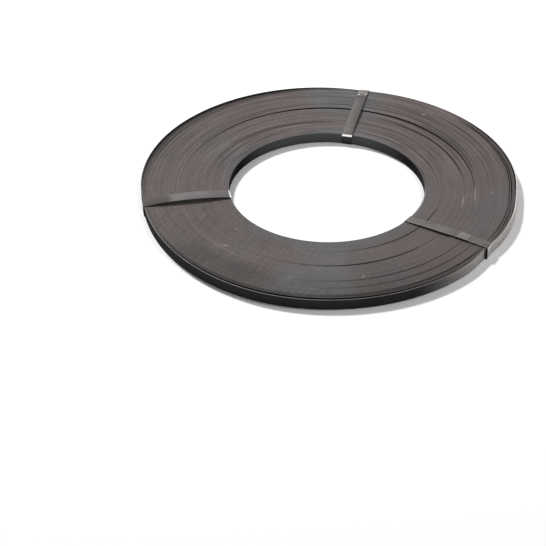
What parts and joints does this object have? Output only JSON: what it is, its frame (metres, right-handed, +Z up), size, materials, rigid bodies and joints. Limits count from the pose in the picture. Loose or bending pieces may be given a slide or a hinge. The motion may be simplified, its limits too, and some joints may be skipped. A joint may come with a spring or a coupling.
{
  "type": "steel strip coil",
  "caption": "Flat coil of narrow blued steel strip with an open bore, loose outer turns and flat steel straps that hold it closed.",
  "frame": {"origin": "on the axis of the bore at the floor, under the straps", "axes": "+Z up along the axis of the bore, -Y to the front of the picture's view, +X to its right"},
  "size_m": [0.5795, 0.5872, 0.0225],
  "materials": {
    "strip_steel": "blued, satin",
    "strap_steel": "blued, satin"
  },
  "bodies": {
    "root": {"coil": "strip_steel", "strap_back": "strap_steel", "strap_left": "strap_steel", "strap_right": "strap_steel"}
  },
  "joints": []
}
